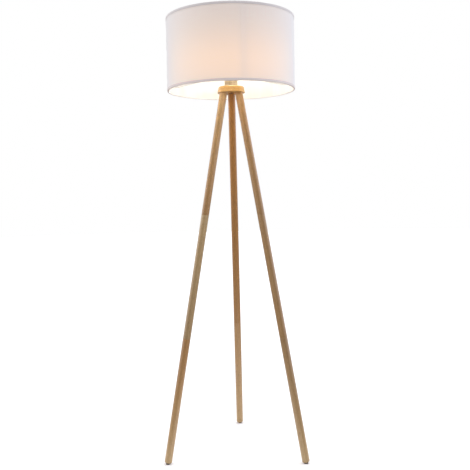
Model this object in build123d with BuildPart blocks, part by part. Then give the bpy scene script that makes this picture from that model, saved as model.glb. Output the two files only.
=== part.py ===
from build123d import *
from math import atan2, cos, degrees, radians, sin
import os

# Tripod floor lamp: a drum shade on a turned wooden hub, with three screw-together wooden legs.
# Millimetres, +Z up. The origin is on the lamp's axis at floor level, and the back leg points along +Y.

os.makedirs("parts", exist_ok=True)

# Driving dimensions
shade_radius = 225.0
shade_height = 250.0
shade_bottom = 1296.0
hub_underside = 1288.0
hub_height = 22.0
hub_radius = 48.5
leg_radius = 13.0
leg_circle_top = 31.0  # distance of each leg's axis from the lamp's axis, at the hub's underside
leg_circle_foot = 276.5  # the same at floor level
leg_azimuths = {"right": -30.0, "back": 90.0, "left": 210.0}
fit_gap = 0.05  # radial gap of a glued or screwed fit
running_gap = 0.3  # radial gap between pieces that move past each other

hub_top = hub_underside + hub_height
shade_top = shade_bottom + shade_height

# Legs: three equal sections, measured down the leg's axis from the hub's underside
leg_spread = leg_circle_foot - leg_circle_top
leg_tilt = degrees(atan2(leg_spread, hub_underside))
leg_axis_length = hub_underside / cos(radians(leg_tilt))
section_length = leg_axis_length / 3
hub_socket_depth = 8.0
hub_socket_gap = 0.2
hub_socket_radius = leg_radius + hub_socket_gap
foot_gap = 4.5  # from the end of the wood to the floor, along the axis
foot_rounding = 5.0
joint_chamfer = 0.7

# Joint hardware: M8 studs in threaded inserts
stud_radius = 4.0
stud_in_insert = 16.0
stud_in_wood = 22.0
stud_chamfer = 0.8
insert_radius = 6.0
insert_length = 14.0
hub_insert_length = 9.0
hub_stud_in_insert = 7.5
insert_pocket_spare = 4.0  # drilled past the insert, for the end of the stud
insert_chamfer = 0.4
hole_spare = 1.0  # drilled past the end of a stud or a pin

# Foot glides
glide_radius = 7.3
glide_pin_radius = 2.2
glide_pin_length = 12.0
glide_edge = 0.5

# Hub
hub_draft = 3.2  # how much narrower the side is at the top than at the bottom
hub_rounding = 6.0
hub_foot_chamfer = 0.8
hub_bore_radius = 5.3
hub_recess_radius = 14.0
hub_recess_depth = 7.0

# Hollow threaded rod that ties the holder to the hub, with its washer, nuts and cord bushing
rod_radius = 5.0
rod_bore_radius = 3.75
rod_top = hub_top + 14.0
rod_inset = 0.5
rod_bottom = hub_underside + rod_inset
rod_chamfer = 0.6
washer_radius = 11.0
washer_thickness = 1.5
nut_flats = 14.0
nut_height = 4.0
bushing_bore_radius = 3.05
bushing_flange_radius = 6.6
bushing_flange_height = 2.0
bushing_neck_length = 11.0
bushing_edge = 0.6

# Metal sleeve over the lamp holder
sleeve_radius = 23.0
sleeve_wall = 0.8
sleeve_height = 28.0
sleeve_rounding = 1.6

# Lamp holder
holder_skirt_radius = sleeve_radius - sleeve_wall - running_gap
holder_wall = 2.2
cap_bottom = hub_top + 6.0
cap_height = 12.0
flange_bottom = hub_top + sleeve_height
flange_height = 2.0
flange_radius = sleeve_radius
holder_top = hub_top + 56.0
holder_thread_radius = 19.8
thread_pitch = 2.5
thread_depth = 0.7
thread_flanks = (0.05, 0.4, 0.6, 0.95)  # where the flanks start and end, as shares of the pitch
holder_cavity_radius = 17.4
core_radius = 16.4
core_bottom = rod_top
core_top = hub_top + 27.0
core_bore_radius = 3.0
terminal_offset = 9.5
terminal_radius = 2.0
terminal_length = 5.0
terminal_slot = 0.6
terminal_proud = 1.0
terminal_slot_length = 6.0
lug_radius = 3.2
lug_length = 4.0
spring_thickness = 0.5
spring_tip_reach = 1.6
spring_gap = 0.3  # from the spring to the bulb's contact
lock_screw_radius = 1.5
lock_screw_length = 5.0
lock_screw_chamfer = 0.3
shell_radius = 14.4
shell_wall = 0.4
shell_height = 24.0
shell_plain_foot = 1.0

# Screw-base bulb, 27 mm base and 60 mm globe
bulb_tip = core_top + 3.0
bulb_length = 106.0
globe_radius = 30.0
globe_wall = 0.8
bulb_cap_radius = 13.1
bulb_cap_wall = 0.3
bulb_cap_bottom = bulb_tip + 4.5
bulb_cap_top = bulb_tip + 26.0
bulb_thread_pitch = 3.6
bulb_thread_depth = 0.8
bulb_neck_radius = 12.4
globe_centre = bulb_tip + bulb_length - globe_radius
globe_waist_angle = 40.0  # below the globe's equator
globe_waist_height = 12.0
globe_waist_rounding = 14.0
globe_neck_flare = 2.0
bulb_skirt_height = 4.0
glass_bottom = bulb_cap_top - 2.0
insulator_taper = 42.0
contact_radius = 4.5
contact_height = 1.0
contact_taper = 35.0
filament_radius = 0.9
filament_length = 34.0
filament_circle = 6.0
filament_count = 4
stem_radius = 3.2
stem_foot_radius = 6.4
stem_foot_height = 9.6

# Shade
cloth_thickness = 0.6
liner_thickness = 0.4
bond_gap = 0.1
ring_wire_radius = 1.5
trim_thickness = 0.5
trim_band = 8.0
trim_turn_in = 5.6
arm_wire_radius = 2.0
arm_bend_radius = 14.0
arm_run_flat = 20.0
arm_count = 3
weld_bite = 0.8  # how far a welded wire sinks into its neighbour
fitter_bottom = flange_bottom + flange_height
fitter_thickness = 1.2
fitter_inner_radius = 21.0
fitter_outer_radius = 29.0

# Ring that clamps the shade's fitter to the holder
clamp_ring_outer_radius = 28.0
clamp_ring_height = 10.0
clamp_ring_rib_radius = 1.1
clamp_ring_rib_count = 30


def leg_plane(azimuth, distance):
    # Square to a leg's axis, the given distance down the leg from the hub's underside.
    # The normal points down the leg.
    outward = Vector(cos(radians(azimuth)), sin(radians(azimuth)), 0)
    down = outward * sin(radians(leg_tilt)) - Vector(0, 0, 1) * cos(radians(leg_tilt))
    start = outward * leg_circle_top + Vector(0, 0, hub_underside)
    return Plane(origin=start + down * distance, x_dir=outward.cross(down), z_dir=down)


def radial_plane(azimuth):
    # Upright plane through the lamp's axis: local x runs outward, local y runs up.
    outward = Vector(cos(radians(azimuth)), sin(radians(azimuth)), 0)
    return Plane(origin=(0, 0, 0), x_dir=outward, z_dir=outward.cross(Vector(0, 0, 1)))


def grooved_side(outer, depth, pitch, bottom, top):
    # Side of a threaded wall, from bottom to top: crests at the outer radius and roots one depth inside.
    rise, crest, fall, root = thread_flanks
    turns = int((top - bottom) / pitch)
    lead = (top - bottom - turns * pitch) / 2
    points = [(outer - depth, bottom)]
    for turn in range(turns):
        start = bottom + lead + turn * pitch
        points.append((outer - depth, start + rise * pitch))
        points.append((outer, start + crest * pitch))
        points.append((outer, start + fall * pitch))
        points.append((outer - depth, start + root * pitch))
    points.append((outer - depth, top))
    return points


# ---- Hub ----

with BuildPart() as hub:
    with BuildSketch(Plane.XZ):
        with BuildLine():
            Polyline(
                (0, hub_underside),
                (hub_radius - hub_foot_chamfer, hub_underside),
                (hub_radius, hub_underside + hub_foot_chamfer),
                (hub_radius - hub_draft, hub_top),
                (0, hub_top),
                close=True,
            )
        make_face()
    revolve(axis=Axis.Z)
    rim = hub.edges().filter_by(GeomType.CIRCLE).group_by(Axis.Z)[-1]
    fillet(rim, hub_rounding)
    with BuildSketch(Plane.XY.offset(hub_underside)):
        Circle(hub_bore_radius)
    extrude(amount=hub_height, mode=Mode.SUBTRACT)
    with BuildSketch(Plane.XY.offset(hub_underside)):
        Circle(hub_recess_radius)
    extrude(amount=hub_recess_depth, mode=Mode.SUBTRACT)
    for azimuth in leg_azimuths.values():
        with BuildSketch(leg_plane(azimuth, -hub_socket_depth)):
            Circle(hub_socket_radius)
        extrude(amount=2 * hub_socket_depth, mode=Mode.SUBTRACT)
        with BuildSketch(leg_plane(azimuth, -hub_socket_depth)):
            Circle(insert_radius + fit_gap)
        extrude(amount=-hub_insert_length, mode=Mode.SUBTRACT)
hub.part.label = "hub"
export_step(hub.part, "parts/hub.step")

# ---- Legs ----

section_starts = {"upper": -hub_socket_depth, "middle": section_length, "lower": 2 * section_length}
section_ends = {"upper": section_length, "middle": 2 * section_length, "lower": leg_axis_length - foot_gap}

for side, azimuth in leg_azimuths.items():
    for level, start in section_starts.items():
        end = section_ends[level]
        with BuildPart() as section:
            with BuildSketch(leg_plane(azimuth, start)):
                Circle(leg_radius)
            extrude(amount=end - start)
            rims = section.edges().filter_by(GeomType.CIRCLE).sort_by(Axis.Z)
            chamfer(rims[-1], joint_chamfer)
            if level == "lower":
                fillet(rims[0], foot_rounding)
            else:
                chamfer(rims[0], joint_chamfer)
            with BuildSketch(leg_plane(azimuth, start)):
                Circle(stud_radius + fit_gap)
            extrude(amount=stud_in_wood + hole_spare, mode=Mode.SUBTRACT)
            if level == "lower":
                with BuildSketch(leg_plane(azimuth, end)):
                    Circle(glide_pin_radius + fit_gap)
                extrude(amount=-glide_pin_length - hole_spare, mode=Mode.SUBTRACT)
            else:
                with BuildSketch(leg_plane(azimuth, end)):
                    Circle(insert_radius + fit_gap)
                extrude(amount=-insert_length, mode=Mode.SUBTRACT)
                with BuildSketch(leg_plane(azimuth, end - insert_length)):
                    Circle(stud_radius + fit_gap)
                extrude(amount=-insert_pocket_spare, mode=Mode.SUBTRACT)
        section.part.label = f"leg_{side}_{level}"
        export_step(section.part, f"parts/leg_{side}_{level}.step")

    leg_end = section_ends["lower"]
    with BuildPart() as glide:
        with BuildSketch(leg_plane(azimuth, leg_end)):
            Circle(glide_radius)
        extrude(amount=2 * foot_gap)
        split(bisect_by=Plane.XY, keep=Keep.TOP)
        fillet(glide.edges().group_by(Axis.Z)[0], glide_edge)
        with BuildSketch(leg_plane(azimuth, leg_end)):
            Circle(glide_pin_radius)
        extrude(amount=-glide_pin_length)
    glide.part.label = f"foot_glide_{side}"
    export_step(glide.part, f"parts/foot_glide_{side}.step")

# ---- Studs and inserts, one set of three at each level ----

joint_levels = {
    "hub_joint": (-hub_socket_depth, hub_insert_length, hub_stud_in_insert),
    "upper_joint": (section_length, insert_length, stud_in_insert),
    "lower_joint": (2 * section_length, insert_length, stud_in_insert),
}

for joint, (distance, length, engaged) in joint_levels.items():
    with BuildPart() as studs:
        for azimuth in leg_azimuths.values():
            with BuildSketch(leg_plane(azimuth, distance - engaged)):
                Circle(stud_radius)
            extrude(amount=engaged + stud_in_wood)
        chamfer(studs.edges().filter_by(GeomType.CIRCLE), stud_chamfer)
    studs.part.label = f"{joint}_studs"
    export_step(studs.part, f"parts/{joint}_studs.step")

    with BuildPart() as inserts:
        for azimuth in leg_azimuths.values():
            with BuildSketch(leg_plane(azimuth, distance)):
                Circle(insert_radius)
            extrude(amount=-length)
        chamfer(inserts.edges().filter_by(GeomType.CIRCLE), insert_chamfer)
        for azimuth in leg_azimuths.values():
            with BuildSketch(leg_plane(azimuth, distance)):
                Circle(stud_radius + fit_gap)
            extrude(amount=-length, mode=Mode.SUBTRACT)
    inserts.part.label = f"{joint}_inserts"
    export_step(inserts.part, f"parts/{joint}_inserts.step")

# ---- Threaded rod, washer, nuts and cord bushing ----

with BuildPart() as threaded_rod:
    with BuildSketch(Plane.XY.offset(rod_bottom)):
        Circle(rod_radius)
    extrude(amount=rod_top - rod_bottom)
    chamfer(threaded_rod.edges().filter_by(GeomType.CIRCLE), rod_chamfer)
    with BuildSketch(Plane.XY.offset(rod_bottom)):
        Circle(rod_bore_radius)
    extrude(amount=rod_top - rod_bottom, mode=Mode.SUBTRACT)
threaded_rod.part.label = "threaded_rod"
export_step(threaded_rod.part, "parts/threaded_rod.step")

washer_top = hub_underside + hub_recess_depth
with BuildPart() as washer:
    with BuildSketch(Plane.XY.offset(washer_top)):
        Circle(washer_radius)
        Circle(rod_radius + fit_gap, mode=Mode.SUBTRACT)
    extrude(amount=-washer_thickness)
washer.part.label = "rod_washer"
export_step(washer.part, "parts/rod_washer.step")

nut_bases = {
    "rod_nut_lower": washer_top - washer_thickness - nut_height,
    "rod_nut_upper": hub_top + sleeve_wall,
}
for name, base in nut_bases.items():
    with BuildPart() as nut:
        with BuildSketch(Plane.XY.offset(base)):
            RegularPolygon(nut_flats / 2, 6, major_radius=False)
            Circle(rod_radius + fit_gap, mode=Mode.SUBTRACT)
        extrude(amount=nut_height)
    nut.part.label = name
    export_step(nut.part, f"parts/{name}.step")

with BuildPart() as bushing:
    with BuildSketch(Plane.XY.offset(rod_bottom)):
        Circle(bushing_flange_radius)
    extrude(amount=-bushing_flange_height)
    fillet(bushing.edges().group_by(Axis.Z)[0], bushing_edge)
    with BuildSketch(Plane.XY.offset(rod_bottom)):
        Circle(rod_bore_radius - fit_gap)
    extrude(amount=bushing_neck_length)
    with BuildSketch(Plane.XY.offset(rod_bottom - bushing_flange_height)):
        Circle(bushing_bore_radius)
    extrude(amount=bushing_flange_height + bushing_neck_length, mode=Mode.SUBTRACT)
bushing.part.label = "cord_bushing"
export_step(bushing.part, "parts/cord_bushing.step")

# ---- Sleeve and lamp holder ----

with BuildPart() as sleeve:
    with BuildSketch(Plane.XY.offset(hub_top)):
        Circle(sleeve_radius)
    extrude(amount=sleeve_height)
    fillet(sleeve.edges().group_by(Axis.Z)[0], sleeve_rounding)
    offset(amount=-sleeve_wall, openings=sleeve.faces().sort_by(Axis.Z)[-1])
    with BuildSketch(Plane.XY.offset(hub_top)):
        Circle(rod_radius + fit_gap)
    extrude(amount=sleeve_wall, mode=Mode.SUBTRACT)
sleeve.part.label = "holder_sleeve"
export_step(sleeve.part, "parts/holder_sleeve.step")

cap_bore = rod_radius + fit_gap
cap_boss_radius = rod_radius + holder_wall
cap_top = cap_bottom + cap_height
with BuildPart() as holder_cap:
    with BuildSketch(Plane.XZ):
        with BuildLine():
            Polyline(
                (cap_bore, cap_bottom),
                (holder_skirt_radius, cap_bottom),
                (holder_skirt_radius, cap_top),
                (holder_skirt_radius - holder_wall, cap_top),
                (holder_skirt_radius - holder_wall, cap_bottom + holder_wall),
                (cap_boss_radius, cap_bottom + holder_wall),
                (cap_boss_radius, rod_top),
                (cap_bore, rod_top),
                close=True,
            )
        make_face()
    revolve(axis=Axis.Z)
    lock_screw_height = rod_top - lug_length
    with BuildSketch(Plane.YZ):
        with Locations((0, lock_screw_height)):
            Circle(lock_screw_radius + fit_gap)
    extrude(amount=cap_boss_radius + lock_screw_radius, mode=Mode.SUBTRACT)
holder_cap.part.label = "holder_cap"
export_step(holder_cap.part, "parts/holder_cap.step")

with BuildPart() as lock_screw:
    with BuildSketch(Plane.YZ.offset(cap_bore)):
        with Locations((0, lock_screw_height)):
            Circle(lock_screw_radius)
    extrude(amount=lock_screw_length)
    chamfer(lock_screw.edges().group_by(Axis.X)[-1], lock_screw_chamfer)
lock_screw.part.label = "rod_lock_screw"
export_step(lock_screw.part, "parts/rod_lock_screw.step")

with BuildPart() as holder_body:
    with BuildSketch(Plane.XZ):
        with BuildLine():
            Polyline(
                (holder_cavity_radius, cap_top),
                (holder_skirt_radius, cap_top),
                (holder_skirt_radius, flange_bottom),
                (flange_radius, flange_bottom),
                (flange_radius, fitter_bottom),
                *grooved_side(holder_thread_radius, thread_depth, thread_pitch, fitter_bottom, holder_top),
                (holder_cavity_radius, holder_top),
                close=True,
            )
        make_face()
    revolve(axis=Axis.Z)
holder_body.part.label = "holder_body"
export_step(holder_body.part, "parts/holder_body.step")

with BuildPart() as holder_core:
    with BuildSketch(Plane.XY.offset(core_bottom)):
        Circle(core_radius)
    extrude(amount=core_top - core_bottom)
    with BuildSketch(Plane.XY.offset(core_bottom)):
        Circle(core_bore_radius)
    extrude(amount=core_top - core_bottom, mode=Mode.SUBTRACT)
    with BuildSketch(Plane.XY.offset(core_bottom)):
        with Locations((0, terminal_offset + lug_radius), (0, -terminal_offset - lug_radius)):
            Circle(terminal_radius + fit_gap)
    extrude(amount=terminal_length, mode=Mode.SUBTRACT)
holder_core.part.label = "holder_core"
export_step(holder_core.part, "parts/holder_core.step")

with BuildPart() as terminal_screws:
    with BuildSketch(Plane.XY.offset(core_bottom - terminal_proud)):
        with Locations((0, terminal_offset + lug_radius), (0, -terminal_offset - lug_radius)):
            Circle(terminal_radius)
    extrude(amount=terminal_length)
    with BuildSketch(Plane.XY.offset(core_bottom - terminal_proud)):
        with Locations((0, terminal_offset + lug_radius), (0, -terminal_offset - lug_radius)):
            Rectangle(terminal_slot_length, terminal_slot)
    extrude(amount=terminal_slot, mode=Mode.SUBTRACT)
terminal_screws.part.label = "terminal_screws"
export_step(terminal_screws.part, "parts/terminal_screws.step")

spring_top = bulb_tip - spring_gap
with BuildPart() as centre_contact:
    with BuildSketch(Plane.YZ):
        with BuildLine():
            Polyline(
                (-terminal_offset, core_top),
                (-lug_radius, core_top),
                (-spring_tip_reach, spring_top - spring_thickness),
                (spring_tip_reach, spring_top - spring_thickness),
                (spring_tip_reach, spring_top),
                (-spring_tip_reach - spring_gap, spring_top),
                (-lug_radius - spring_gap, core_top + spring_thickness),
                (-terminal_offset, core_top + spring_thickness),
                close=True,
            )
        make_face()
    extrude(amount=lug_radius / 2, both=True)
centre_contact.part.label = "centre_contact"
export_step(centre_contact.part, "parts/centre_contact.step")

with BuildPart() as thread_shell:
    with BuildSketch(Plane.XZ):
        with BuildLine():
            Polyline(
                (shell_radius - shell_wall - bulb_thread_depth / 2, core_top),
                (shell_radius - bulb_thread_depth / 2, core_top),
                *grooved_side(
                    shell_radius,
                    bulb_thread_depth / 2,
                    bulb_thread_pitch,
                    core_top + shell_plain_foot,
                    core_top + shell_height,
                ),
                (shell_radius - shell_wall - bulb_thread_depth / 2, core_top + shell_height),
                close=True,
            )
        make_face()
    revolve(axis=Axis.Z)
thread_shell.part.label = "thread_shell"
export_step(thread_shell.part, "parts/thread_shell.step")

# ---- Clamp ring ----

clamp_ring_bottom = fitter_bottom + fitter_thickness
with BuildPart() as clamp_ring:
    with BuildSketch(Plane.XY.offset(clamp_ring_bottom)):
        Circle(clamp_ring_outer_radius)
        with PolarLocations(clamp_ring_outer_radius, clamp_ring_rib_count):
            Circle(clamp_ring_rib_radius, mode=Mode.SUBTRACT)
        Circle(holder_thread_radius + running_gap, mode=Mode.SUBTRACT)
    extrude(amount=clamp_ring_height)
clamp_ring.part.label = "clamp_ring"
export_step(clamp_ring.part, "parts/clamp_ring.step")

# ---- Shade ----

cloth_inner = shade_radius - cloth_thickness
liner_outer = cloth_inner - bond_gap
liner_inner = liner_outer - liner_thickness
wire_ring_radius = liner_inner - bond_gap - ring_wire_radius
rim_levels = {"bottom": (shade_bottom, 1), "top": (shade_top, -1)}

with BuildPart() as shade_cloth:
    with BuildSketch(Plane.XY.offset(shade_bottom)):
        Circle(shade_radius)
        Circle(cloth_inner, mode=Mode.SUBTRACT)
    extrude(amount=shade_height)
shade_cloth.part.label = "shade_cloth"
export_step(shade_cloth.part, "parts/shade_cloth.step")

with BuildPart() as shade_liner:
    with BuildSketch(Plane.XY.offset(shade_bottom)):
        Circle(liner_outer)
        Circle(liner_inner, mode=Mode.SUBTRACT)
    extrude(amount=shade_height)
shade_liner.part.label = "shade_liner"
export_step(shade_liner.part, "parts/shade_liner.step")

for rim, (edge, inward) in rim_levels.items():
    with BuildPart() as wire_ring:
        with BuildSketch(Plane.XZ):
            with Locations((wire_ring_radius, edge + inward * ring_wire_radius)):
                Circle(ring_wire_radius)
        revolve(axis=Axis.Z)
    wire_ring.part.label = f"{rim}_wire_ring"
    export_step(wire_ring.part, f"parts/{rim}_wire_ring.step")

    # The trim is an L in section: a band up the outside and a lip turned in under the rim.
    trim_inner = shade_radius + bond_gap
    trim_outer = trim_inner + trim_thickness
    with BuildPart() as rim_trim:
        with BuildSketch(Plane.XZ):
            with BuildLine():
                Polyline(
                    (trim_inner, edge + inward * trim_band),
                    (trim_outer, edge + inward * trim_band),
                    (trim_outer, edge - inward * (bond_gap + trim_thickness)),
                    (trim_outer - trim_turn_in, edge - inward * (bond_gap + trim_thickness)),
                    (trim_outer - trim_turn_in, edge - inward * bond_gap),
                    (trim_inner, edge - inward * bond_gap),
                    close=True,
                )
            make_face()
        revolve(axis=Axis.Z)
    rim_trim.part.label = f"{rim}_trim"
    export_step(rim_trim.part, f"parts/{rim}_trim.step")

with BuildPart() as fitter_ring:
    with BuildSketch(Plane.XY.offset(fitter_bottom)):
        Circle(fitter_outer_radius)
        Circle(fitter_inner_radius, mode=Mode.SUBTRACT)
    extrude(amount=fitter_thickness)
fitter_ring.part.label = "fitter_ring"
export_step(fitter_ring.part, "parts/fitter_ring.step")

# Each arm lies on the fitter ring, drops to the bottom wire ring and is welded to both.
arm_height = fitter_bottom + fitter_thickness / 2
arm_outer = wire_ring_radius - ring_wire_radius + weld_bite
arm_foot = shade_bottom + arm_wire_radius
with BuildPart() as spider_arms:
    for arm in range(arm_count):
        upright = radial_plane(leg_azimuths["back"] + arm * 360 / arm_count)
        with BuildLine(upright):
            arm_path = FilletPolyline(
                (fitter_outer_radius - weld_bite, arm_height),
                (fitter_outer_radius + arm_run_flat, arm_height),
                (arm_outer - arm_run_flat, arm_foot),
                (arm_outer, arm_foot),
                radius=arm_bend_radius,
            )
        with BuildSketch(Plane(origin=arm_path @ 0, z_dir=arm_path % 0)):
            Circle(arm_wire_radius)
        sweep(path=arm_path)
spider_arms.part.label = "spider_arms"
export_step(spider_arms.part, "parts/spider_arms.step")

# ---- Bulb ----


def globe_outline(wall):
    # Half section of the bulb's glass, inset by wall: globe on top, waist, then straight neck.
    radius = globe_radius - wall
    waist_angle = radians(globe_waist_angle)
    waist = (radius * cos(waist_angle), globe_centre - radius * sin(waist_angle))
    neck = (bulb_neck_radius + globe_neck_flare - wall, waist[1] - globe_waist_height)
    top = (0, globe_centre + radius)
    side = (radius, globe_centre)
    base = (bulb_neck_radius - wall, glass_bottom)
    ThreePointArc(top, side, waist)
    FilletPolyline(waist, neck, base, radius=globe_waist_rounding)
    Polyline(base, (0, glass_bottom), top)


with BuildPart() as bulb_glass:
    with BuildSketch(Plane.XZ):
        with BuildLine():
            globe_outline(0)
        make_face()
        with BuildLine():
            globe_outline(globe_wall)
        make_face(mode=Mode.SUBTRACT)
    revolve(axis=Axis.Z)
bulb_glass.part.label = "bulb_glass"
export_step(bulb_glass.part, "parts/bulb_glass.step")

skirt_bottom_height = bulb_cap_top - bulb_skirt_height
with BuildPart() as bulb_cap:
    with BuildSketch(Plane.XZ):
        with BuildLine():
            Polyline(
                (bulb_neck_radius - bulb_thread_depth, bulb_cap_bottom),
                *grooved_side(
                    bulb_cap_radius,
                    bulb_thread_depth,
                    bulb_thread_pitch,
                    bulb_cap_bottom,
                    skirt_bottom_height,
                ),
                (bulb_cap_radius, skirt_bottom_height + bulb_thread_depth),
                (bulb_cap_radius, bulb_cap_top),
                (bulb_cap_radius - bulb_cap_wall, bulb_cap_top),
                (bulb_cap_radius - bulb_cap_wall, glass_bottom - bulb_cap_wall),
                (bulb_neck_radius - bulb_thread_depth, skirt_bottom_height),
                close=True,
            )
        make_face()
    revolve(axis=Axis.Z)
bulb_cap.part.label = "bulb_cap"
export_step(bulb_cap.part, "parts/bulb_cap.step")

with BuildPart() as bulb_insulator:
    with BuildSketch(Plane.XY.offset(bulb_cap_bottom)):
        Circle(bulb_neck_radius - bulb_thread_depth)
    extrude(amount=-(bulb_cap_bottom - bulb_tip - contact_height), taper=insulator_taper)
bulb_insulator.part.label = "bulb_insulator"
export_step(bulb_insulator.part, "parts/bulb_insulator.step")

with BuildPart() as bulb_contact:
    with BuildSketch(Plane.XY.offset(bulb_tip + contact_height)):
        Circle(contact_radius)
    extrude(amount=-contact_height, taper=contact_taper)
bulb_contact.part.label = "bulb_contact"
export_step(bulb_contact.part, "parts/bulb_contact.step")

stem_bottom = glass_bottom + globe_wall
stem_top = globe_centre
with BuildPart() as bulb_stem:
    with BuildSketch(Plane.XY.offset(stem_bottom)):
        Circle(stem_foot_radius)
    with BuildSketch(Plane.XY.offset(stem_bottom + stem_foot_height)):
        Circle(stem_radius)
    loft()
    with BuildSketch(Plane.XY.offset(stem_bottom + stem_foot_height)):
        Circle(stem_radius)
    extrude(amount=stem_top - stem_bottom - stem_foot_height)
bulb_stem.part.label = "bulb_stem"
export_step(bulb_stem.part, "parts/bulb_stem.step")

with BuildPart() as bulb_filaments:
    with BuildSketch(Plane.XY.offset(globe_centre - filament_length / 2)):
        with PolarLocations(filament_circle, filament_count):
            Circle(filament_radius)
    extrude(amount=filament_length)
bulb_filaments.part.label = "bulb_filaments"
export_step(bulb_filaments.part, "parts/bulb_filaments.step")
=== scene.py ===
# Tripod floor lamp with a lit drum shade. Metres, +Z up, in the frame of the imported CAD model.
import math

import bpy
import numpy as np
from mathutils import Matrix, Vector


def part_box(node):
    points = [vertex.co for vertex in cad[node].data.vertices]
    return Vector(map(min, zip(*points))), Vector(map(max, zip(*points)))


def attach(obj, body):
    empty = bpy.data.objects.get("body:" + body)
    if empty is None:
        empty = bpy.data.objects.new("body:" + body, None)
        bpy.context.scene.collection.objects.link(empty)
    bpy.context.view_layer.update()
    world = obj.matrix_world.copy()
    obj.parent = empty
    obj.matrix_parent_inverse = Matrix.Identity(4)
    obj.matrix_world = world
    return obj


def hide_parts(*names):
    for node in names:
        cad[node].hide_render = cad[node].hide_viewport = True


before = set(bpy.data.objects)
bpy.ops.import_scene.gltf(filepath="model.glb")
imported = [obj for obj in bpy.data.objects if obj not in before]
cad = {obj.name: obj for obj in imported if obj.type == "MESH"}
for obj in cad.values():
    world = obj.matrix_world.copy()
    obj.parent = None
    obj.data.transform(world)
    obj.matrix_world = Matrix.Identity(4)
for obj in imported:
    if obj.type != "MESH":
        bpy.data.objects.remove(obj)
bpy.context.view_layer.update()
mm = 0.001
bandScale = 0.314  # the scale at which a Wave Texture draws one band per unit
eased = {"interpolation_type": "SMOOTHSTEP"}


def linear(hexCode):
    # sRGB hex to linear light, by the sRGB curve
    channels = [int(hexCode[i:i + 2], 16) / 255 for i in (1, 3, 5)]
    return (*[c / 12.92 if c <= 0.04045 else ((c + 0.055) / 1.055) ** 2.4 for c in channels], 1.0)


def newMaterial(name):
    material = bpy.data.materials.new(name)
    material.use_nodes = True
    material.node_tree.nodes.clear()
    return material, material.node_tree


def add(tree, kind, settings=None, **inputs):
    # one node with its settings and its inputs, by name or as i0, i1: a socket is linked, anything else is a value
    node = tree.nodes.new("ShaderNode" + kind)
    for key, value in (settings or {}).items():
        if key == "stops":  # positions and hex colours along a colour ramp
            elements = node.color_ramp.elements
            while len(elements) < len(value):
                elements.new(0.5)
            for element, (position, colour) in zip(elements, value):
                element.position = position
                element.color = linear(colour)
        else:
            setattr(node, key, value)
    for key, value in inputs.items():
        numbered = key[0] == "i" and key[1:].isdigit()
        socket = node.inputs[int(key[1:]) if numbered else key.replace("_", " ")]
        if isinstance(value, bpy.types.NodeSocket):
            tree.links.new(value, socket)
        else:
            socket.default_value = value
    return node


def meshFrom(name, points, faces, uv=None):
    # points: (n, 3); faces: list of index arrays (n, 3) or (n, 4); uv: one pair per face corner
    mesh = bpy.data.meshes.new(name)
    mesh.from_pydata(points.tolist(), [], [f for group in faces for f in group.tolist()])
    mesh.polygons.foreach_set("use_smooth", np.ones(len(mesh.polygons), dtype=bool))
    if uv is not None:
        layer = mesh.uv_layers.new(name="UVMap")
        layer.data.foreach_set("uv", uv.astype(np.float32).ravel())
    mesh.update()
    piece = bpy.data.objects.new(name, mesh)
    bpy.context.scene.collection.objects.link(piece)
    return piece


def gridFaces(rows, columns, closeRows=False, closeColumns=False):
    # quads of a grid of rows x columns points, wrapped where asked, as corner indices and corner (row, column) steps
    r, c = np.meshgrid(np.arange(rows - (not closeRows)), np.arange(columns - (not closeColumns)), indexing="ij")
    r, c = r.ravel(), c.ravel()
    stepsR = np.stack([r, r, r + 1, r + 1], 1)
    stepsC = np.stack([c, c + 1, c + 1, c], 1)
    return (stepsR % rows) * columns + stepsC % columns, stepsR, stepsC


def finishPiece(piece, body, material, node):
    piece.data.materials.append(material)
    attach(piece, body)
    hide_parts(node)
    return piece


def smoothStep(x):
    x = np.clip(x, 0, 1)
    return x * x * (3 - 2 * x)


cameraPlace = {
    "distance": 2.3896,  # from the lamp's axis
    "height": 0.9335,
    "turn": 2.005,  # degrees round the lamp, from straight in front
    "pan": 0.090,  # degrees to the right of the axis
    "pitch": -3.582,
    "roll": -1.097,
    "lens": 51.04,
    "sensor": 36.0,
}


def makeCamera():
    data = bpy.data.cameras.new("camera")
    data.sensor_width = cameraPlace["sensor"]
    data.lens = cameraPlace["lens"]
    camera = bpy.data.objects.new("camera", data)
    bpy.context.scene.collection.objects.link(camera)
    turn, pan, pitch, roll = (math.radians(cameraPlace[key]) for key in ("turn", "pan", "pitch", "roll"))
    heading = pan - turn
    forward = Vector((math.sin(heading) * math.cos(pitch), math.cos(heading) * math.cos(pitch), math.sin(pitch)))
    level = Vector((math.cos(heading), -math.sin(heading), 0))
    upward = level.cross(forward)
    right = level * math.cos(roll) + upward * math.sin(roll)
    up = upward * math.cos(roll) - level * math.sin(roll)
    basis = Matrix((right, up, -forward)).transposed().to_4x4()
    place = Vector((math.sin(turn), -math.cos(turn), 0)) * cameraPlace["distance"]
    place.z = cameraPlace["height"]
    camera.matrix_world = Matrix.Translation(place) @ basis
    bpy.context.scene.camera = camera


makeCamera()
print("camera placed")

studio = {
    "floorRadius": 14.0,
    "floorRings": 24,
    "floorSpokes": 96,
    "floorSeen": "#FBFBFA",
    "floorNear": "#F2F1EF",  # what the paper under the lamp throws back up at it
    "floorFar": "#908F8E",  # and the floor beyond
    "paperRadius": (0.35, 1.15),
    "frontLight": 0.49,  # brightness of the room on the camera's side
    "backLight": 1.72,  # and to the sides of the lamp
    "frontEdge": (-0.92, -0.12),  # where the one turns into the other, in a direction's Y
    "behindLight": 0.5,  # share of it straight behind the lamp
    "behindEdge": (0.30, 0.90),
    "roomTint": "#F7F5F8",
    "rightTint": "#F2F4FF",  # a window's cooler light on the right
    "rightEdge": (0.1, 0.9),  # where it comes in, in a direction's X
    "keyLight": 0.35,  # soft light from above and behind, W/m2
    "keyAngle": 60.0,
    "keyFrom": (0.5, 0.6, 1.0),
}


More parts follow.
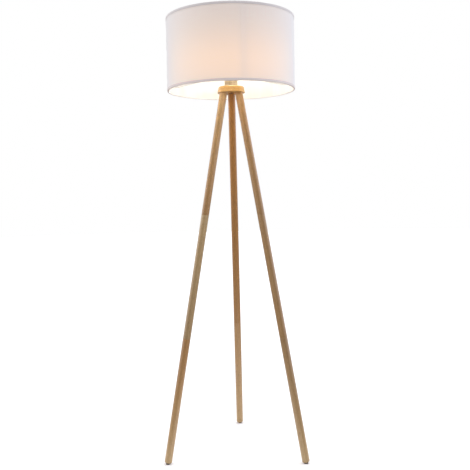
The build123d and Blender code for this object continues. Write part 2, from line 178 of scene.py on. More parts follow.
def makeFloor():
    # disc: angle round and radius out, in rings that widen outwards
    rings, spokes = studio["floorRings"], studio["floorSpokes"]
    radius = studio["floorRadius"] * np.linspace(0, 1, rings + 1)[1:] ** 2
    angle = np.linspace(0, 2 * np.pi, spokes, endpoint=False)
    grid = np.stack(np.broadcast_arrays(radius[:, None] * np.cos(angle), radius[:, None] * np.sin(angle), 0.0), -1)
    points = np.vstack([grid.reshape(-1, 3), [[0, 0, 0]]])
    quads = gridFaces(rings, spokes, closeColumns=True)[0][:, ::-1]
    ring = np.arange(spokes)
    fan = np.stack([np.full(spokes, rings * spokes), ring, (ring + 1) % spokes], 1)
    floor = meshFrom("floor", points, [quads, fan])
    # matt white paint: a plain pale ground, which throws less light back up than it shows
    material, tree = newMaterial("paintedStudioFloor")
    seen = add(tree, "LightPath").outputs["Is Camera Ray"]
    place = add(tree, "TexCoord").outputs["Object"]
    away = add(tree, "VectorMath", {"operation": "LENGTH"}, i0=place).outputs["Value"]
    inner, outer = studio["paperRadius"]
    far = add(tree, "MapRange", eased, Value=away, From_Min=inner, From_Max=outer).outputs[0]
    bounce = add(tree, "MixRGB", i0=far, i1=linear(studio["floorNear"]), i2=linear(studio["floorFar"])).outputs[0]
    base = add(tree, "MixRGB", i0=seen, i1=bounce, i2=linear(studio["floorSeen"])).outputs[0]
    shader = add(tree, "BsdfDiffuse", Color=base)
    add(tree, "OutputMaterial", Surface=shader.outputs[0])
    floor.data.materials.append(material)


def makeLights():
    # a room that is dim in front and bright at the sides, seen as plain white, and one soft light from above
    world = bpy.data.worlds.new("studio")
    bpy.context.scene.world = world
    world.use_nodes = True
    tree = world.node_tree
    tree.nodes.clear()
    direction = add(tree, "SeparateXYZ", Vector=add(tree, "TexCoord").outputs["Generated"]).outputs
    start, end = studio["frontEdge"]
    level = add(tree, "MapRange", eased, Value=direction["Y"], From_Min=start, From_Max=end,
                To_Min=studio["frontLight"], To_Max=studio["backLight"]).outputs[0]
    start, end = studio["behindEdge"]
    behind = add(tree, "MapRange", eased, Value=direction["Y"], From_Min=start, From_Max=end, To_Min=1.0,
                 To_Max=studio["behindLight"]).outputs[0]
    level = add(tree, "Math", {"operation": "MULTIPLY"}, i0=level, i1=behind).outputs[0]
    start, end = studio["rightEdge"]
    side = add(tree, "MapRange", eased, Value=direction["X"], From_Min=start, From_Max=end).outputs[0]
    tint = add(tree, "MixRGB", i0=side, i1=linear(studio["roomTint"]), i2=linear(studio["rightTint"])).outputs[0]
    room = add(tree, "Background", Color=tint, Strength=level)
    white = add(tree, "Background", Color=(1, 1, 1, 1), Strength=1.0)
    seen = add(tree, "LightPath").outputs["Is Camera Ray"]
    both = add(tree, "MixShader", i0=seen, i1=room.outputs[0], i2=white.outputs[0])
    add(tree, "OutputWorld", Surface=both.outputs[0])
    key = bpy.data.lights.new("softKey", "SUN")
    key.energy = studio["keyLight"]
    key.angle = math.radians(studio["keyAngle"])
    sun = bpy.data.objects.new("softKey", key)
    bpy.context.scene.collection.objects.link(sun)
    sun.rotation_mode = "QUATERNION"
    sun.rotation_quaternion = Vector(studio["keyFrom"]).to_track_quat("Z", "Y")


makeFloor()
makeLights()
bpy.context.scene.view_settings.view_transform = "Standard"
print("floor and lights made")

wood = {
    "light": "#B99D70",
    "middle": "#A88B5A",
    "dark": "#8C6E43",
    "warm": "#FFD28C",  # tint of the more orange timber, and of the painted warm lamp light on the leg tops
    "pore": "#B59A80",
    "ringWidth": 16.33 * mm,
    "ringShare": 0.22,  # how much each pattern adds to the light and dark of the wood
    "fibreShare": 0.55,
    "cloudShare": 0.35,
    "darkest": 0.18,
    "stretch": 0.06,  # rings and clouds are drawn out along the grain
    "sway": 9 * mm,
    "swayWidth": 40 * mm,
    "heart": (31 * mm, 12 * mm, 0),  # from the bar's middle to the rings' middle
    "cloudWidth": 90 * mm,
    "poreWidth": 0.55 * mm,  # the real 0.2 mm wouldn't show
    "poreLength": 14 * mm,
    "poreDepth": 0.15 * mm,
    "roughness": 0.42,
    "lacquer": 0.8,
    "lacquerRoughness": 0.12,
}


def woodNodes(tree, point, shades, toneAndLight, warmthAndLampGlow):
    # lacquered hardwood in its own coordinates, grain along local Z: growth rings cut lengthwise, and fine pores
    flat = add(tree, "Mapping", Vector=point, Scale=(1, 1, wood["stretch"])).outputs[0]
    sway = add(tree, "TexNoise", Vector=flat, Scale=1 / wood["swayWidth"], Detail=2.0, Roughness=0.5).outputs["Color"]
    bent = add(tree, "VectorMath", {"operation": "MULTIPLY_ADD"}, i0=sway, i1=(wood["sway"],) * 3, i2=flat).outputs[0]
    beside = add(tree, "VectorMath", {"operation": "ADD"}, i0=bent, i1=wood["heart"]).outputs[0]
    rings = add(tree, "TexWave", {"wave_type": "RINGS", "rings_direction": "Z", "wave_profile": "SAW"}, Vector=beside,
                Scale=bandScale / wood["ringWidth"], Distortion=1.2, Detail=2.0, Detail_Scale=0.6).outputs["Fac"]
    fibre = add(tree, "Mapping", Vector=point,
                Scale=(1 / wood["poreWidth"], 1 / wood["poreWidth"], 1 / wood["poreLength"])).outputs[0]
    fibreNoise = add(tree, "TexNoise", Vector=fibre, Scale=0.5, Detail=4.0, Roughness=0.65).outputs["Fac"]
    pores = add(tree, "TexNoise", Vector=fibre, Scale=1.0, Detail=1.0).outputs["Fac"]
    poreMask = add(tree, "MapRange", Value=pores, From_Min=0.60, From_Max=0.70).outputs[0]
    cloud = add(tree, "TexNoise", Vector=flat, Scale=1 / wood["cloudWidth"], Detail=2.0).outputs["Fac"]
    mixed = wood["darkest"]
    for pattern, share in ((rings, "ringShare"), (fibreNoise, "fibreShare"), (cloud, "cloudShare")):
        mixed = add(tree, "Math", {"operation": "MULTIPLY_ADD"}, i0=pattern, i1=wood[share], i2=mixed).outputs[0]
    stops = [(0.12, shades["dark"]), (0.5, shades["middle"]), (0.88, shades["light"])]
    base = add(tree, "ValToRGB", {"stops": stops}, i0=mixed).outputs["Color"]
    # these two factors brighten and warm the colour: the timber's own variation, and on the legs painted warm lamp
    # light towards their tops
    base = add(tree, "VectorMath", {"operation": "SCALE"}, i0=base, Scale=toneAndLight).outputs[0]
    base = add(tree, "MixRGB", {"blend_type": "MULTIPLY"}, i0=warmthAndLampGlow, i1=base, i2=linear(wood["warm"])).outputs[0]
    base = add(tree, "MixRGB", {"blend_type": "MULTIPLY"}, i0=poreMask, i1=base, i2=linear(wood["pore"])).outputs[0]
    height = add(tree, "Math", {"operation": "SUBTRACT"}, i0=fibreNoise, i1=poreMask).outputs[0]
    bump = add(tree, "Bump", Strength=0.12, Distance=wood["poreDepth"], Height=height).outputs[0]
    rough = add(tree, "MapRange", Value=fibreNoise, To_Min=wood["roughness"] - 0.07,
                To_Max=wood["roughness"] + 0.10).outputs[0]
    shader = add(tree, "BsdfPrincipled", Base_Color=base, Roughness=rough, Normal=bump, IOR=1.5,
                 Coat_Weight=wood["lacquer"], Coat_Roughness=wood["lacquerRoughness"])
    add(tree, "OutputMaterial", Surface=shader.outputs[0])


def makeLegWood():
    # rubberwood dowel, turned and sprayed with clear satin lacquer: long fine grain under a soft sheen
    material, tree = newMaterial("lacqueredRubberwoodDowel")
    point = add(tree, "Attribute", {"attribute_name": "grainPoint"}).outputs["Vector"]
    # both values along each section: the timber's own variation, and painted warm lamp light brightening and warming
    # the tops
    toneAndLight = add(tree, "Attribute", {"attribute_name": "timberTone"}).outputs["Fac"]
    warmthAndLampGlow = add(tree, "Attribute", {"attribute_name": "timberWarmth"}).outputs["Fac"]
    woodNodes(tree, point, wood, toneAndLight, warmthAndLampGlow)
    return material


# the leg wood's colours made lighter and more orange: painted warm lamp light on the hub under the bulb
hubWoodLampLit = {
    "light": "#E4AE56",
    "middle": "#D69C42",
    "dark": "#B67C32",
    "grainTurn": 78.0,  # degrees round the axis
    "grainPlace": (0.05, 0.02, 0),
}


def makeHubWood():
    # the same wood turned as a disc, with the grain lying flat across it: end grain shows on two sides; its colours are
    # lighter and more orange than the legs', painted warm lamp light from the bulb just above
    material, tree = newMaterial("lampLitTurnedHub")
    point = add(tree, "TexCoord").outputs["Object"]
    lying = (math.radians(90), 0, math.radians(hubWoodLampLit["grainTurn"]))
    turned = add(tree, "Mapping", Vector=point, Location=hubWoodLampLit["grainPlace"], Rotation=lying).outputs[0]
    woodNodes(tree, turned, hubWoodLampLit, 1.0, 0.0)
    return material


legWood = makeLegWood()
turnedHub = makeHubWood()

leg = {
    "segments": 72,
    "sideRows": 60,
    "chamfer": 0.7 * mm,
    "footRounding": 5.0 * mm,
    "insertRadius": 6.05 * mm,
    "insertDepth": 14.0 * mm,
    "studRadius": 4.05 * mm,
    "studDepth": 23.0 * mm,
    "nosePocket": 4.0 * mm,
    "glidePin": 2.25 * mm,
    "glideDepth": 13.0 * mm,
    "wobble": 0.0016,  # share of the radius by which the lathe wanders
    "grainStep": (0.11, 0.07, 0.9),  # between one section's grain and the next
    "tonesAndPaintedLight": {  # each section's timber: brightness at its top and its foot, then lean to orange at its top and its foot; partly the timber's own variation, partly painted light, the tops near the lamp brighter and more orange as painted warm lamp light
        "right_upper": (1.34, 0.90, 0.62, 0.50), "right_middle": (0.90, 0.79, 0.46, 0.46),
        "right_lower": (0.72, 0.89, 0.42, 0.08), "back_upper": (1.32, 0.96, 1.0, 0.92),
        "back_middle": (0.97, 0.87, 0.98, 0.75), "back_lower": (0.99, 0.99, 0.55, 0.12),
        "left_upper": (1.62, 0.92, 0.30, 0.62), "left_middle": (1.14, 0.82, 0.0, 0.12),
        "left_lower": (0.84, 0.97, 0.78, 0.06),
    },
}


def axisOf(node):
    # a round bar's axis, from its CAD vertices: the line of greatest spread through their middle
    vertices = cad[node].data.vertices
    points = np.empty(len(vertices) * 3)
    vertices.foreach_get("co", points)
    points = points.reshape(-1, 3)
    middle = points.mean(0)
    offsets = points - middle
    axis = np.linalg.svd(offsets, full_matrices=False)[2][0]
    axis = axis * -np.sign(axis[2])  # pointing down
    along = offsets @ axis
    radius = np.linalg.norm(offsets - along[:, None] * axis, axis=1).max()
    return middle, axis, along.min(), along.max(), radius


def barProfile(length, radius, isFoot):
    # half outline of a section, as (distance down, radius): stud pocket, end face, side, end face, pocket or pin hole
    ease, stud, deep = leg["chamfer"], leg["studRadius"], leg["studDepth"]
    pocket = [(deep, 0.0), (deep, stud), (0.0, stud), (0.0, radius - ease)]
    turn = np.linspace(0.2, 1.4, 4)
    shoulder = np.stack([ease * (1 - np.cos(turn)), radius - ease + ease * np.sin(turn)], 1)
    if isFoot:
        soft, turn = leg["footRounding"], np.linspace(0.1, math.pi / 2, 14)
        pin, pinTop = leg["glidePin"], length - leg["glideDepth"]
        end = [(length, pin), (pinTop, pin), (pinTop, 0.0)]
    else:
        soft, turn = ease, np.linspace(0.17, 1.37, 4)
        insert, insertTop = leg["insertRadius"], length - leg["insertDepth"]
        noseTop = insertTop - leg["nosePocket"]
        end = [(length, radius - ease), (length, insert), (insertTop, insert), (insertTop, stud), (noseTop, stud),
               (noseTop, 0.0)]
    edge = np.stack([length - soft + soft * np.sin(turn), radius - soft + soft * np.cos(turn)], 1)
    side = np.stack([np.linspace(ease, length - soft, leg["sideRows"]), np.full(leg["sideRows"], radius)], 1)
    return np.vstack([pocket, shoulder, side, edge, end])


def makeLegSection(name, seed):
    # a round bar: its half outline carried round the leg's axis, point = start + axis * distance + radius * spoke
    node = "leg_" + name
    middle, axis, top, foot, radius = axisOf(node)
    profile = barProfile(foot - top, radius, name.endswith("lower"))
    body = profile[1:-1]
    rows, columns = len(body), leg["segments"]
    spin = np.linspace(0, 2 * np.pi, columns, endpoint=False)
    across = np.cross(axis, [middle[0], middle[1], 0])
    across /= np.linalg.norm(across)
    outward = np.cross(across, axis)
    spoke = np.cos(spin)[:, None] * outward + np.sin(spin)[:, None] * across
    start = middle + axis * top
    # the turned surface is true to a few hundredths of a millimetre
    wave = 1 + leg["wobble"] * np.sin(body[:, :1] * 61 + seed) * np.sin(spin * 2 + seed)
    grid = start + body[:, 0][:, None, None] * axis + (body[:, 1][:, None] * wave)[..., None] * spoke
    poles = start + profile[[0, -1], 0][:, None] * axis
    points = np.vstack([grid.reshape(-1, 3), poles])
    quads = gridFaces(rows, columns, closeColumns=True)[0]
    ring = np.arange(columns)
    after = (ring + 1) % columns
    lastRow = (rows - 1) * columns
    fanTop = np.stack([np.full(columns, rows * columns), after, ring], 1)
    fanFoot = np.stack([np.full(columns, rows * columns + 1), lastRow + ring, lastRow + after], 1)
    piece = meshFrom("legSection_" + name, points, [quads[:, ::-1], fanTop[:, ::-1], fanFoot[:, ::-1]])
    local = (points - start) @ np.stack([outward, across, axis], 1) + np.array(leg["grainStep"]) * seed
    grain = piece.data.attributes.new("grainPoint", "FLOAT_VECTOR", "POINT")
    grain.data.foreach_set("vector", local.astype(np.float32).ravel())
    share = np.clip((points - start) @ axis / (foot - top), 0, 1)
    topToneAndLight, footToneAndLight, topWarmthAndLampGlow, footWarmthAndLampGlow = leg["tonesAndPaintedLight"][name]
    for look, upper, lower in (("timberTone", topToneAndLight, footToneAndLight), ("timberWarmth", topWarmthAndLampGlow, footWarmthAndLampGlow)):
        values = piece.data.attributes.new(look, "FLOAT", "POINT")
        values.data.foreach_set("value", (upper + (lower - upper) * share).astype(np.float32))
    return finishPiece(piece, "stand", legWood, node)


for seed, name in enumerate(leg["tonesAndPaintedLight"], 1):
    makeLegSection(name, seed)
print("legs turned")

shade = {
    "columns": 420,
    "rows": (42, 14),  # up the outside and down the inside
    "thickness": 0.6 * mm,
    "seamAngle": -79.5,  # degrees round the axis, where the cloth's ends lap
    "seamLap": 16 * mm,
    "seamStep": 0.35 * mm,
    "waviness": 0.12 * mm,
    "white": "#F4F1EE",
    "thread": 1.1 * mm,  # the real 0.3 mm wouldn't show
    "lapDimming": 0.20,
    "lapStart": (-16 * mm, 10 * mm),  # the lap's dim band sets in over this width about its first edge
    "lapEnd": (-8 * mm, 24 * mm),  # and clears over this width about its second
    "glowColour": "#FFAF18",
    "glowStrength": 0.83,
    "glowCoat": "#B4B4B4",  # what one straight pass through the cloth lets out
    "glowHeight": 0.054,  # how far below the bulb's middle the glow is strongest
    "glowReach": 0.122,  # half its height
}
trim = {
    "thickness": 0.5 * mm,
    "band": 8.6 * mm,  # height on the outside
    "roll": 1.6 * mm,  # radius of the turn over the rim
    "lip": 5.6 * mm,  # reach across the rim
    "pucker": 0.10 * mm,
    "drift": 0.05 * mm,
    "colours": ("#E1DFE1", "#EDEBEC"),
    "thread": 0.9 * mm,  # the real 0.3 mm wouldn't show
    "glow": 0.10,
}
clothLow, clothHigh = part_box("shade_cloth")
clothRadius = clothHigh.x
bulbLow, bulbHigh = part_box("bulb_glass")
bulbMiddle = bulbHigh.z - bulbHigh.x  # the globe's centre is one radius below its top
seam = math.radians(shade["seamAngle"])


def roundColumns():
    # angles round the drum, closer together where the cloth's ends lap
    even = np.linspace(0, 2 * np.pi, shade["columns"], endpoint=False)
    past = np.append(np.linspace(-0.2, 1.2, 22) * shade["seamLap"], np.array([0.05, 0.4, 0.9]) * mm)
    angles = np.append(even, seam + past / clothRadius)
    return np.unique(np.round(np.mod(angles, 2 * np.pi), 5))


def lapRise(angle):
    # the cloth's upper end lies over its lower end: a sharp edge, then a slow fall over the width of the lap
    past = np.mod(angle - seam, 2 * np.pi) * clothRadius
    rise = smoothStep(past / (0.9 * mm)) * (1 - smoothStep((past - 2 * mm) / (shade["seamLap"] - 2 * mm)))
    return shade["seamStep"] * rise


def hoop(name, profile, bulge):
    # a ring of closed section: profile (radius, height) points carried round the axis, pushed out by bulge(angle, z)
    angle = roundColumns()
    rows, columns = len(profile), len(angle)
    r, z = profile.T
    radius = r[:, None] + bulge(angle[None, :], z[:, None])
    height = np.broadcast_to(z[:, None], (rows, columns))
    points = np.stack([radius * np.cos(angle), radius * np.sin(angle), height], -1).reshape(-1, 3)
    quads, stepsR, stepsC = gridFaces(rows, columns, closeRows=True, closeColumns=True)
    around = np.append(angle, angle[0] + 2 * np.pi) * clothRadius
    along = np.append(0, np.cumsum(np.hypot(np.diff(r, append=r[0]), np.diff(z, append=z[0]))))
    uv = np.stack([around[stepsC], along[stepsR]], -1)[:, ::-1]
    return meshFrom(name, points, [quads[:, ::-1]], uv)


def clothWave(angle, z):
    # the drum is true, but for the lap and for a faint wave where the sheet is bonded by hand
    wave = np.sin(5 * angle + 1.3) * np.sin(19 * z) + 0.6 * np.sin(11 * angle + 40 * z)
    return lapRise(angle) + shade["waviness"] * wave


def makeCloth():
    # a drum with a thin wall: its outline goes up the outside and down the inside
    up, down = shade["rows"]
    outer = np.stack([np.full(up, clothRadius), np.linspace(clothLow.z, clothHigh.z, up)], 1)
    inner = np.stack([np.full(down, clothRadius - shade["thickness"]), np.linspace(clothHigh.z, clothLow.z, down)], 1)
    return finishPiece(hoop("shadeCloth", np.vstack([outer, inner]), clothWave), "shade", fabric,
                       "shade_cloth")


def makeTrim(name, node, inwards):
    # cloth tape rolled over the rim: a band up the outside, a round turn over the wire, and a lip that grips the liner
    low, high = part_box(node)
    edge = low.z if inwards > 0 else high.z
    outside, thick, roll = high.x, trim["thickness"], trim["roll"]
    lip, small = outside - trim["lip"], roll - thick
    turn = np.linspace(0, np.pi / 2, 9)
    bandOut = np.stack([np.full(9, outside), edge + inwards * np.linspace(trim["band"], roll + 0.2 * mm, 9)], 1)
    rollOut = np.stack([outside - roll + roll * np.cos(turn), edge + inwards * (roll - roll * np.sin(turn))], 1)
    lipOut = np.stack([np.linspace(outside - roll - 0.6 * mm, lip, 5), np.full(5, edge)], 1)
    lipIn = np.stack([np.linspace(lip, outside - roll, 5), np.full(5, edge + inwards * thick)], 1)
    rollIn = np.stack([outside - roll + small * np.sin(turn), edge + inwards * (roll - small * np.cos(turn))], 1)[1:]
    bandIn = np.stack([np.full(6, outside - thick), edge + inwards * np.linspace(roll + 0.5 * mm, trim["band"], 6)], 1)
    profile = np.vstack([bandOut, rollOut, lipOut, lipIn, rollIn, bandIn])
    if inwards > 0:
        profile = profile[::-1]

    def pucker(angle, z):
        # the tape gathers a little where it turns over the rim
        near = np.exp(-((z - edge) / (3 * mm)) ** 2)
        return near * trim["pucker"] * np.sin(173 * angle + 3 * np.sin(17 * angle)) + trim["drift"] * np.sin(23 * angle)

    return finishPiece(hoop(name, profile, pucker), "shade", tape, node)


def weave(tree, point, thread):
    # plain weave in UV metres: warp and weft cross as two sets of rounded threads
    warp = add(tree, "Mapping", Vector=point, Scale=(1 / thread, 0, 0)).outputs[0]
    weft = add(tree, "Mapping", Vector=point, Scale=(0, 1 / thread, 0)).outputs[0]
    a = add(tree, "TexWave", {"wave_type": "BANDS", "bands_direction": "X"}, Vector=warp, Scale=bandScale,
            Distortion=0.4, Detail=1.0).outputs["Fac"]
    b = add(tree, "TexWave", {"wave_type": "BANDS", "bands_direction": "Y"}, Vector=weft, Scale=bandScale,
            Distortion=0.4, Detail=1.0).outputs["Fac"]
    return add(tree, "Math", {"operation": "MAXIMUM"}, i0=a, i1=b).outputs[0]


def slubs(tree, point, across, along, seed):
    # thick places in single threads: noise stretched along the thread
    stretched = add(tree, "Mapping", Vector=point, Location=(seed, seed * 0.37, 0),
                    Scale=(1 / across, 1 / along, 1)).outputs[0]
    return add(tree, "TexNoise", Vector=stretched, Scale=1.0, Detail=2.0, Roughness=0.6).outputs["Fac"]


def lampGlow(tree, thickness):
    # colour of the lamp's light on the cloth: strongest beside the bulb, and half as strong one reach above or below
    height = add(tree, "SeparateXYZ", Vector=add(tree, "TexCoord").outputs["Object"]).outputs["Z"]
    away = add(tree, "Math", {"operation": "SUBTRACT"}, i0=height, i1=bulbMiddle - shade["glowHeight"]).outputs[0]
    square = add(tree, "Math", {"operation": "MULTIPLY"}, i0=away, i1=away).outputs[0]
    reach = add(tree, "Math", {"operation": "ADD"}, i0=square, i1=shade["glowReach"] ** 2).outputs[0]
    near = add(tree, "Math", {"operation": "DIVIDE"}, i0=shade["glowReach"] ** 2, i1=reach).outputs[0]
    glow = add(tree, "Math", {"operation": "MULTIPLY"}, i0=near, i1=thickness).outputs[0]
    return add(tree, "MixRGB", {"blend_type": "MULTIPLY"}, i0=1.0, i1=linear(shade["glowColour"]), i2=glow).outputs[0]


def makeShadeFabric():
    # plain-woven polycotton bonded to styrene: matt, lit from behind, with faint slubs and a darker lap
    material, tree = newMaterial("bondedPolycottonWeave")
    uv = add(tree, "UVMap", {"uv_map": "UVMap"}).outputs[0]
    warpSlub = slubs(tree, uv, 2.2 * mm, 50 * mm, 3.1)
    weftSlub = slubs(tree, uv, 60 * mm, 2.0 * mm, 7.7)
    slub = add(tree, "Math", {"operation": "ADD"}, i0=warpSlub, i1=weftSlub).outputs[0]
    thin = add(tree, "MapRange", Value=slub, From_Min=0.70, From_Max=1.30, To_Min=0.965, To_Max=1.035).outputs[0]
    # the lap is two cloths and a line of glue thick, so less light comes through; it blurs on the liner behind
    around = add(tree, "SeparateXYZ", Vector=uv).outputs["X"]
    first = math.radians(shade["seamAngle"] % 360) * clothRadius
    second = first + shade["seamLap"]
    into = add(tree, "MapRange", eased, Value=around, From_Min=first + shade["lapStart"][0],
               From_Max=first + shade["lapStart"][1], To_Max=shade["lapDimming"]).outputs[0]
    past = add(tree, "MapRange", eased, Value=around, From_Min=second + shade["lapEnd"][0],
               From_Max=second + shade["lapEnd"][1], To_Min=1.0, To_Max=0.0).outputs[0]
    lap = add(tree, "Math", {"operation": "MULTIPLY"}, i0=into, i1=past).outputs[0]
    clear = add(tree, "Math", {"operation": "SUBTRACT"}, i0=thin, i1=lap).outputs[0]
    base = add(tree, "MixRGB", {"blend_type": "MULTIPLY"}, i0=1.0, i1=linear(shade["white"]), i2=thin).outputs[0]
    bump = add(tree, "Bump", Strength=0.35, Distance=0.1 * mm, Height=weave(tree, uv, shade["thread"])).outputs[0]
    face = add(tree, "BsdfPrincipled", Base_Color=base, Roughness=0.95, Specular_IOR_Level=0.15, Sheen_Weight=1.0,
               Sheen_Roughness=1.0, Normal=bump)
    # lamp light that has come through: the cloth dims it more the longer its way out, so it fades towards the sides
    light = add(tree, "BsdfPrincipled", Base_Color=(0, 0, 0, 1), Roughness=1.0, Specular_IOR_Level=0.0,
                Coat_Weight=1.0, Coat_IOR=1.0, Coat_Roughness=1.0, Coat_Tint=linear(shade["glowCoat"]),
                Emission_Color=lampGlow(tree, clear), Emission_Strength=shade["glowStrength"])
    both = add(tree, "AddShader", i0=face.outputs[0], i1=light.outputs[0])
    add(tree, "OutputMaterial", Surface=both.outputs[0])
    return material


def makeTapeFabric():
    # bleached cotton tape rolled and glued: opaque, so it reads as a cooler line against the lit cloth
    material, tree = newMaterial("rolledCottonTape")
    uv = add(tree, "UVMap", {"uv_map": "UVMap"}).outputs[0]
    thick = slubs(tree, uv, 1.6 * mm, 20 * mm, 5.0)
    stops = [(0.3, trim["colours"][0]), (0.7, trim["colours"][1])]
    base = add(tree, "ValToRGB", {"stops": stops}, i0=thick).outputs["Color"]
    bump = add(tree, "Bump", Strength=0.4, Distance=0.1 * mm, Height=weave(tree, uv, trim["thread"])).outputs[0]
    shader = add(tree, "BsdfPrincipled", Base_Color=base, Roughness=0.9, Specular_IOR_Level=0.2, Sheen_Weight=0.2,
                 Sheen_Roughness=0.5, Normal=bump, Emission_Color=lampGlow(tree, 1.0), Emission_Strength=trim["glow"])
    add(tree, "OutputMaterial", Surface=shader.outputs[0])
    return material


fabric = makeShadeFabric()
tape = makeTapeFabric()
cloth = makeCloth()
topTrim = makeTrim("topTrim", "top_trim", -1)
bottomTrim = makeTrim("bottomTrim", "bottom_trim", 1)
print("shade made")

# finishes of the CAD pieces that stay


def makeLiner():
    # extruded white styrene sheet: smooth, milky, with a faint flow streak
    material, tree = newMaterial("extrudedStyreneLiner")
    place = add(tree, "TexCoord").outputs["Object"]
    drawn = add(tree, "Mapping", Vector=place, Scale=(30, 30, 4)).outputs[0]
    streak = add(tree, "TexNoise", Vector=drawn, Scale=1.0, Detail=2.0).outputs["Fac"]
    base = add(tree, "ValToRGB", {"stops": [(0.3, "#F1EEE6"), (0.7, "#F8F6F0")]}, i0=streak).outputs["Color"]
    rough = add(tree, "MapRange", Value=streak, To_Min=0.38, To_Max=0.50).outputs[0]
    shader = add(tree, "BsdfPrincipled", Base_Color=base, Roughness=rough, IOR=1.55)
    add(tree, "OutputMaterial", Surface=shader.outputs[0])
    return material


def makeMetal(name, colours, roughness, mark, depth, stretch, polish=0.0):
    # bare or plated metal: tool marking, mark wide and drawn out by stretch, breaks the gloss into soft streaks; on the
    # holder sleeve the wide light and dark bands are painted reflections
    material, tree = newMaterial(name)
    place = add(tree, "TexCoord").outputs["Object"]
    drawn = add(tree, "Mapping", Vector=place, Scale=stretch).outputs[0]
    marksAndPaintedBands = add(tree, "TexNoise", Vector=drawn, Scale=1 / mark, Detail=3.0, Roughness=0.6).outputs["Fac"]
    smudge = add(tree, "TexNoise", Vector=place, Scale=1 / (9 * mm), Detail=2.0).outputs["Fac"]
    both = add(tree, "Math", {"operation": "MULTIPLY_ADD"}, i0=marksAndPaintedBands, i1=0.7, i2=smudge).outputs[0]
    # the colour follows the streaks: real tool marking on most metals, and painted reflection bands on the holder
    # sleeve
    base = add(tree, "ValToRGB", {"stops": [(0.25, colours[0]), (0.75, colours[1])]}, i0=marksAndPaintedBands).outputs["Color"]
    rough = add(tree, "MapRange", Value=both, From_Min=0.5, From_Max=1.2, To_Min=roughness * 0.8,
                To_Max=roughness * 1.3).outputs[0]
    bump = add(tree, "Bump", Strength=depth, Distance=0.05 * mm, Height=marksAndPaintedBands).outputs[0]
    shader = add(tree, "BsdfPrincipled", Base_Color=base, Metallic=1.0, Roughness=rough, Normal=bump)
    if polish:  # rubbed in one direction, which stretches its reflections
        shader.inputs["Anisotropic"].default_value = polish
        shader.inputs["Anisotropic Rotation"].default_value = 0.25
        tangent = add(tree, "Tangent", {"direction_type": "RADIAL", "axis": "Z"})
        tree.links.new(tangent.outputs[0], shader.inputs["Tangent"])
    add(tree, "OutputMaterial", Surface=shader.outputs[0])
    return material


def makeMoulded(name, colours, roughness, grain, depth, gloss=0.5, coat=0.0):
    # moulded or fired surface: a fine even texture, with slow drifts of colour and gloss
    material, tree = newMaterial(name)
    place = add(tree, "TexCoord").outputs["Object"]
    texture = add(tree, "TexNoise", Vector=place, Scale=1 / grain, Detail=3.0).outputs["Fac"]
    drift = add(tree, "TexNoise", Vector=place, Scale=1 / (18 * mm), Detail=2.0).outputs["Fac"]
    base = add(tree, "ValToRGB", {"stops": [(0.3, colours[0]), (0.7, colours[1])]}, i0=drift).outputs["Color"]
    rough = add(tree, "MapRange", Value=drift, To_Min=roughness * 0.85, To_Max=roughness * 1.15).outputs[0]
    bump = add(tree, "Bump", Strength=depth, Distance=0.08 * mm, Height=texture).outputs[0]
    shader = add(tree, "BsdfPrincipled", Base_Color=base, Roughness=rough, Normal=bump, Coat_Weight=coat,
                 Specular_IOR_Level=gloss)
    add(tree, "OutputMaterial", Surface=shader.outputs[0])
    return material


bulb = {"glass": "#F6F0E4", "glow": "#FFF4E6", "brightness": 34.0, "neckShare": 0.25}


def makeOpalGlass():
    # inside-frosted globe, lit: an even bright skin that fades a little towards the cap
    material, tree = newMaterial("frostedGlobeGlass")
    place = add(tree, "TexCoord").outputs["Object"]
    height = add(tree, "SeparateXYZ", Vector=place).outputs["Z"]
    lit = add(tree, "MapRange", Value=height, From_Min=bulbLow.z, From_Max=bulbMiddle, To_Min=bulb["neckShare"],
              To_Max=1.0).outputs[0]
    frost = add(tree, "TexNoise", Vector=place, Scale=1 / (1.5 * mm), Detail=2.0).outputs["Fac"]
    speck = add(tree, "MapRange", Value=frost, To_Min=0.94, To_Max=1.06).outputs[0]
    level = add(tree, "Math", {"operation": "MULTIPLY"}, i0=lit, i1=speck).outputs[0]
    colour = add(tree, "MixRGB", {"blend_type": "MULTIPLY"}, i0=1.0, i1=linear(bulb["glow"]), i2=level).outputs[0]
    shader = add(tree, "BsdfPrincipled", Base_Color=linear(bulb["glass"]), Roughness=0.3, Emission_Color=colour,
                 Emission_Strength=bulb["brightness"])
    add(tree, "OutputMaterial", Surface=shader.outputs[0])
    return material


# yellow metal, turned bright, with fine rings
brass = makeMetal("machinedBrass", ("#B08A45", "#CDA75C"), roughness=0.30, mark=0.5 * mm, depth=0.25,
                  stretch=(1, 1, 4))
# grey plating, a little blue and dull
zinc = makeMetal("zincPlatedSteel", ("#A3A6A9", "#BDC0C2"), roughness=0.35, mark=0.6 * mm, depth=0.20,
                 stretch=(1, 1, 3))
# warm silver, with light and dark bands drawn out along the tube: painted reflections, light for the lit shade and dark
# tan for the room and the wood below
nickelPaintedReflections = makeMetal("nickelTubePaintedReflections", ("#8E7450", "#DCCAAE"), roughness=0.30, mark=14 * mm, depth=0.02,
                   stretch=(1, 1, 0.01), polish=0.6)
# pale and bright, with soft rings from the press
capMetal = makeMetal("pressedAluminiumCap", ("#C4C6C8", "#DCDDDE"), roughness=0.25, mark=0.7 * mm, depth=0.15,
                     stretch=(0.3, 0.3, 3))
# fine matt brown, close to the hub's wood
nylon = makeMoulded("mouldedBrownNylon", ("#86643F", "#94714A"), roughness=0.45, grain=0.35 * mm, depth=0.3)
# warm white with a satin skin
plastic = makeMoulded("mouldedWhiteThermoplastic", ("#E4E1DA", "#ECEAE4"), roughness=0.5, grain=0.35 * mm, depth=0.3)
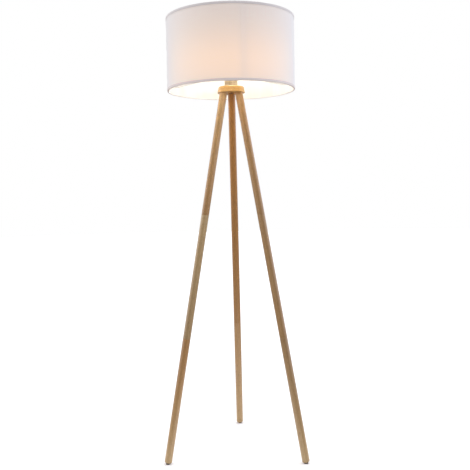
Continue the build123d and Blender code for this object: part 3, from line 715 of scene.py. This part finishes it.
# chalky off-white with no shine
ceramic = makeMoulded("unglazedSteatite", ("#DAD4C6", "#E6E1D4"), roughness=0.75, grain=0.25 * mm, depth=0.5, gloss=0.3)
# dull dark grey-brown
rubber = makeMoulded("mouldedRubberFoot", ("#5A544D", "#69625A"), roughness=0.7, grain=0.4 * mm, depth=0.5, gloss=0.3)
# glossy black
vitrite = makeMoulded("blackVitriteGlass", ("#0E0E10", "#1A1A1D"), roughness=0.15, grain=0.8 * mm, depth=0.1, coat=0.3)
# white with a faint orange peel
powderCoat = makeMoulded("whitePowderCoatedWire", ("#E6E5E1", "#F0EFEC"), roughness=0.4, grain=0.7 * mm, depth=0.5,
                         coat=0.1)
# pale and glossy, a little green
clearGlass = makeMoulded("pressedStemGlass", ("#DDE4E2", "#E8EEEC"), roughness=0.1, grain=1.0 * mm, depth=0.1)
# soft matt yellow
phosphor = makeMoulded("phosphorCoatedFilament", ("#F0D08A", "#F6DCA0"), roughness=0.6, grain=0.2 * mm, depth=0.3)
liner = makeLiner()
opal = makeOpalGlass()

finishes = {
    turnedHub: ["hub"],
    brass: ["hub_joint_inserts", "upper_joint_inserts", "lower_joint_inserts", "centre_contact", "bulb_contact",
            "terminal_screws", "thread_shell"],
    zinc: ["hub_joint_studs", "upper_joint_studs", "lower_joint_studs", "threaded_rod", "rod_washer", "rod_nut_lower",
           "rod_nut_upper", "rod_lock_screw"],
    nickelPaintedReflections: ["holder_sleeve"],
    capMetal: ["bulb_cap"],
    plastic: ["holder_cap", "holder_body", "clamp_ring"],
    nylon: ["cord_bushing"],
    ceramic: ["holder_core"],
    rubber: ["foot_glide_right", "foot_glide_back", "foot_glide_left"],
    vitrite: ["bulb_insulator"],
    powderCoat: ["top_wire_ring", "bottom_wire_ring", "spider_arms", "fitter_ring"],
    clearGlass: ["bulb_stem"],
    phosphor: ["bulb_filaments"],
    liner: ["shade_liner"],
    opal: ["bulb_glass"],
}
for material, nodes in finishes.items():
    for node in nodes:
        cad[node].data.materials.clear()
        cad[node].data.materials.append(material)
print("CAD pieces finished")
